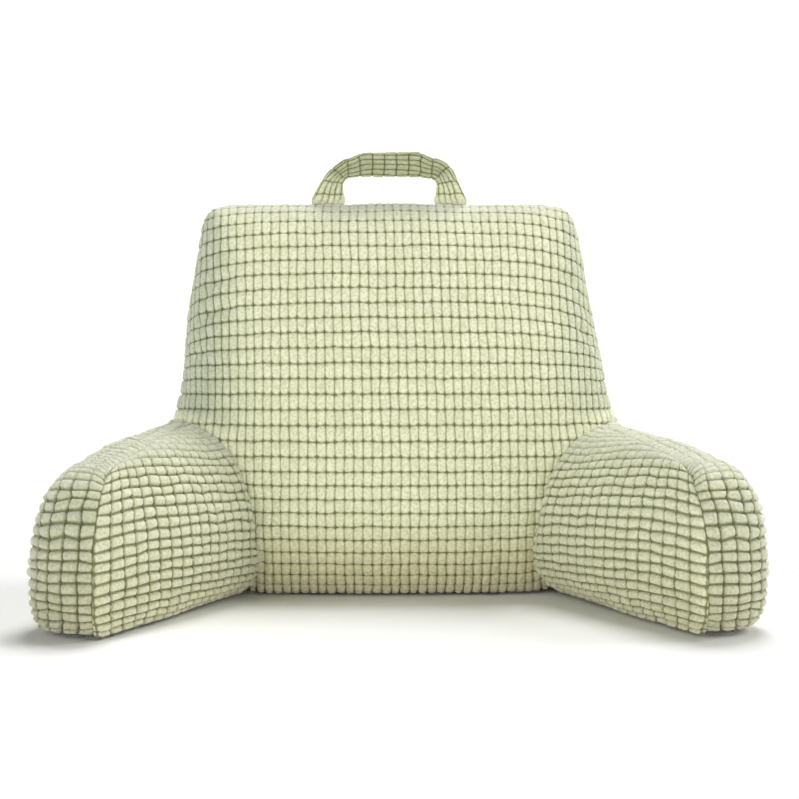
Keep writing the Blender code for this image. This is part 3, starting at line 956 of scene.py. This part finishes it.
def dress_arm(arm, tree, back_tree):
    # Painted light: each arm's cloth is darker than the backrest's, the right one a little paler.
    level = ARM_LEVEL * arm.paler
    along_material = plush("plush_" + arm.name, ARM_WEAVE, level, ARM_FOOT)
    strip_material = plush("plush_strip_" + arm.name, STRIP_WEAVE, level, ARM_FOOT, 1.0)
    lay, widths, a = belt_lay(tree, *strip_course(arm, tree), arm_hub, STRIP_RISE)
    inner, outer = strip_sides(a, np.minimum(widths, STRIP_WIDTH), ARM_SEAM_POINTS)
    made = [make_panel(arm.name + "_strip", lay, np.concatenate([inner, outer[::-1]]), STRIP_WEAVE,
                       [back_tree], strip_material, ARM_STRIP_SEED, seam_share=top_seam_share)]
    for name, rows, side in (("_inner_panel", INNER_ROWS, inner), ("_outer_panel", OUTER_ROWS, outer)):
        panel = arm_lay(arm, *rows)
        course = panel.nearest(lay.point(*side.T))
        start, rear = course[0][0], panel.lines.shape[0] * STEP
        outline = np.concatenate([
            [(rear, -ARM_CLIMB * rear), (start, -ARM_CLIMB * start)], course[1:],
            [(rear, course[-1][1])]])
        made.append(make_panel(arm.name + name, panel, outline, ARM_WEAVE, [back_tree],
                               along_material, ARM_PANEL_SEED, seam_share=top_seam_share))
    ring = arm_points(arm, up_to(0, len(ARM_OUTLINE), 88), np.full(88, -1.0))
    made.append(make_base(arm.name + "_base_panel", ring, [back_tree], along_material, ARM_WEAVE))
    return made


# ---- Handle ----

def handle_route():
    """Stations along the strap's inner edge: x, z, the turn of its direction, and the lean."""
    bend_x, bend_z = STRAP_OPENING_X - STRAP_CORNER, STRAP_OPENING_Z - STRAP_CORNER
    z = up_to(STRAP_FOOT_Z, bend_z, 24)
    share = np.maximum(z - STRAP_LEAN_FROM_Z, 0.0) / (bend_z - STRAP_LEAN_FROM_Z)
    leg = columns(np.full_like(z, -STRAP_OPENING_X), z, np.full_like(z, pi / 2),
                  STRAP_LEAN_LEG * share ** STRAP_LEAN_EASE)
    share = up_to(0, 1, 24)
    turn = pi / 2 * (1 - share)
    corner = columns(-bend_x - STRAP_CORNER * np.sin(turn), bend_z + STRAP_CORNER * np.cos(turn),
                     turn, STRAP_LEAN_LEG + (STRAP_LEAN_CORNER - STRAP_LEAN_LEG) * share)
    x = np.linspace(-bend_x, 0, 40)
    share = ease(x, -bend_x, STRAP_FOLD_REACH - bend_x)
    grip = columns(x, np.full_like(x, STRAP_OPENING_Z), np.zeros_like(x),
                   STRAP_LEAN_CORNER + (STRAP_LEAN_GRIP - STRAP_LEAN_CORNER) * share)
    half = np.concatenate([leg, corner, grip])
    return np.concatenate([half, half[-2::-1] * [-1, 1, -1, 1]])


def strap_place(u, face):
    """Across and through the strap at a length u round its section from the inner edge."""
    radius = STRAP_THICKNESS / 2
    flat = STRAP_WIDTH - STRAP_THICKNESS
    turn = np.clip(u / radius, -pi / 2, pi / 2)
    past = np.clip((u - radius * pi / 2 - flat) / radius, 0, pi)
    across = radius * (1 - np.cos(turn)) + np.clip(u - radius * pi / 2, 0, flat) + radius * np.sin(past)
    through = radius * np.where(past > 0, np.cos(past), np.sin(turn))
    return across, through * face


def strap_folds(x, z, edge, across):
    """The folds of the strap, each from a corner of its opening across the end of the grip."""
    folds = []
    for side in (-1, 1):
        corner_x = side * (STRAP_OPENING_X - STRAP_FOLD_IN)
        grip_x = side * (STRAP_OPENING_X - STRAP_FOLD_REACH)
        start = np.argmin(np.abs(x - corner_x) + np.abs(z - STRAP_OPENING_Z))
        end = np.argmin(np.abs(x - grip_x))
        course = np.array([edge[start] + STRAP_FOLD_START * across[start],
                           edge[end] + STRAP_FOLD_END * across[end]])
        folds.append((course, STRAP_FOLD_DEPTH, STRAP_FOLD_WIDTH))
    return folds


def dress_handle(back_tree):
    material = plush("plush_strap", STRAP_WEAVE, STRAP_LEVEL, STRAP_GRIP)
    x, z, turn, lean = handle_route().T
    level = np.zeros_like(turn)
    along = columns(np.cos(turn), level, np.sin(turn))
    outward = columns(-np.sin(turn), level, np.cos(turn))
    across = outward * np.cos(lean)[:, None] + np.array([0.0, -1.0, 0.0]) * np.sin(lean)[:, None]
    through = np.cross(along, across)
    edge = columns(STRAP_X + x, np.full_like(x, STRAP_Y + SHIFT_Y), z)
    middle = edge + across * STRAP_WIDTH / 2
    corner_pinch = np.where(x < 0, *STRAP_PINCH) * np.abs(np.sin(2 * turn))
    foot_pinch = np.where(x < 0, *STRAP_FOOT_PINCH)
    pinch = 1 - corner_pinch - foot_pinch * ease(z, STRAP_OPENING_Z, STRAP_FOOT_FULL_Z)
    folds = strap_folds(x, z, edge, across)
    length = arc_lengths(middle)
    length -= length[-1] / 2
    a = np.arange(length[0], length[-1], STEP / 2)
    round_half = STRAP_WIDTH - STRAP_THICKNESS + pi * STRAP_THICKNESS / 2
    b = np.arange(-STRAP_SPARE, round_half + STRAP_SPARE, STEP / 2)
    outline = np.array([(a[0], 0.0), (a[-1], 0.0), (a[-1], round_half), (a[0], round_half)])
    made = []
    for name, face, seed in STRAP_FACES:
        side, depth = strap_place(b, face)
        side = side * pinch[:, None]
        grid = edge[:, None] + across[:, None] * side[..., None] + through[:, None] * depth[:, None]
        lines = np.stack([read_curve(a, length, grid[:, j]) for j in range(len(b))], axis=1)
        inside = read_curve(a[len(a) // 2], length, middle)
        lay = Lay(lines, (a[0], b[0]), STEP / 2, inside)
        made.append(make_panel(name, lay, outline, STRAP_WEAVE, [back_tree], material, seed,
                               STRAP_SEAM, STRAP_PRESSED, creases=folds))
    return made


# ---- Stage ----

FLOOR_RADIUS = 30.0
FLOOR_CLOUDS = 3.0  # scale of its faint clouds, a metre
FLOOR_DARKER, FLOOR_PALER = (0.955, 0.955, 0.95), (0.965, 0.965, 0.96)

CAMERA_DISTANCE = 1.5  # to the foremost plane of the backrest
CAMERA_HEIGHT = 0.239
CAMERA_ORBIT = radians(1.1)
CAMERA_AIM = radians(0.113)
CAMERA_LENS = 57.27  # mm, on a 36 mm wide sensor

# The way towards each light, its share of full white on a face turned to it, and its width in
# degrees.
LIGHTS = (
    ("overhead", (0.15, 0.40, 1.0), 0.65, 28),
    ("right", (1.0, 0.1, 0.8), 0.34, 30),
    ("front_left", (-0.7, -0.7, 0.6), 0.15, 40),
)
WALLS, ROOM_LEVEL = 1.12, 0.02  # the white walls all round, and the dark above them
WALL_TOP, WALL_END = 0.34, 0.44  # sine of the height at which the walls fade
WINDOW = 1.70  # a wide, low window in the front wall, on top of its level
WINDOW_FROM, WINDOW_FULL = 0.35, 0.85  # sine of the turn towards the front where it sets in
WINDOW_TOP, WINDOW_END = 0.17, 0.29  # sine of the height at which it fades


def make_stage():
    bpy.ops.mesh.primitive_circle_add(vertices=96, radius=FLOOR_RADIUS, fill_type="NGON")
    floor = bpy.context.object
    floor.name = "floor"
    material, n, shader = new_material("pale_floor")
    where = n.add("ShaderNodeTexCoord").outputs["Object"]
    cloud = n.between(n.noise(where, FLOOR_CLOUDS)["Fac"], 0.3, 0.7)
    tone = n.mix(cloud, FLOOR_DARKER, FLOOR_PALER)
    n.fill(shader, {"Base Color": tone, "Roughness": 0.9, "Specular IOR Level": 0.1})
    floor.data.materials.append(material)


def make_lights():
    world = bpy.data.worlds.new("soft_studio")
    world.use_nodes = True
    n = Nodes(world)
    way = n.xyz(n.add("ShaderNodeTexCoord").outputs["Generated"])
    walls = n.between(way[2], WALL_TOP, WALL_END, WALLS, ROOM_LEVEL)
    front = n.math("MULTIPLY", way[1], -1.0)
    window = n.math("MULTIPLY", n.between(front, WINDOW_FROM, WINDOW_FULL, 0.0, WINDOW),
                    n.between(way[2], WINDOW_TOP, WINDOW_END, 1.0, 0.0))
    n.fill(n.tree.nodes["Background"], {
        "Color": (1.0, 1.0, 1.0, 1.0), "Strength": n.math("ADD", walls, window)})
    bpy.context.scene.world = world
    for name, towards, level, width in LIGHTS:
        data = bpy.data.lights.new(name, "SUN")
        data.energy = level * pi
        data.angle = radians(width)
        lamp = new_object(name, data)
        lamp.rotation_euler = Vector(towards).to_track_quat("Z", "Y").to_euler()
    bpy.context.scene.view_settings.view_transform = "Standard"
    bpy.context.scene.view_settings.look = "None"


def make_camera():
    data = bpy.data.cameras.new("camera")
    data.lens, data.sensor_width = CAMERA_LENS, 36.0
    data.clip_start, data.clip_end = 0.05, 200.0
    camera = new_object("camera", data)
    camera.location = (
        -CAMERA_DISTANCE * sin(CAMERA_ORBIT),
        SHIFT_Y - CAMERA_DISTANCE * cos(CAMERA_ORBIT),
        CAMERA_HEIGHT)
    camera.rotation_euler = (pi / 2, 0, -CAMERA_ORBIT - CAMERA_AIM)
    bpy.context.scene.camera = camera


# ---- The whole ----


def main():
    back_tree = backrest_tree()
    arm_trees = [arm_tree(arm) for arm in ARMS]
    dressed = {"backrest": dress_backrest(back_tree, arm_trees)}
    for arm, tree in zip(ARMS, arm_trees):
        dressed[arm.name] = dress_arm(arm, tree, back_tree)
    dressed["handle"] = dress_handle(back_tree)
    for node, pieces in dressed.items():
        for piece in pieces:
            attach(piece, "root")
        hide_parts(node)
    make_stage()
    make_lights()
    make_camera()


main()
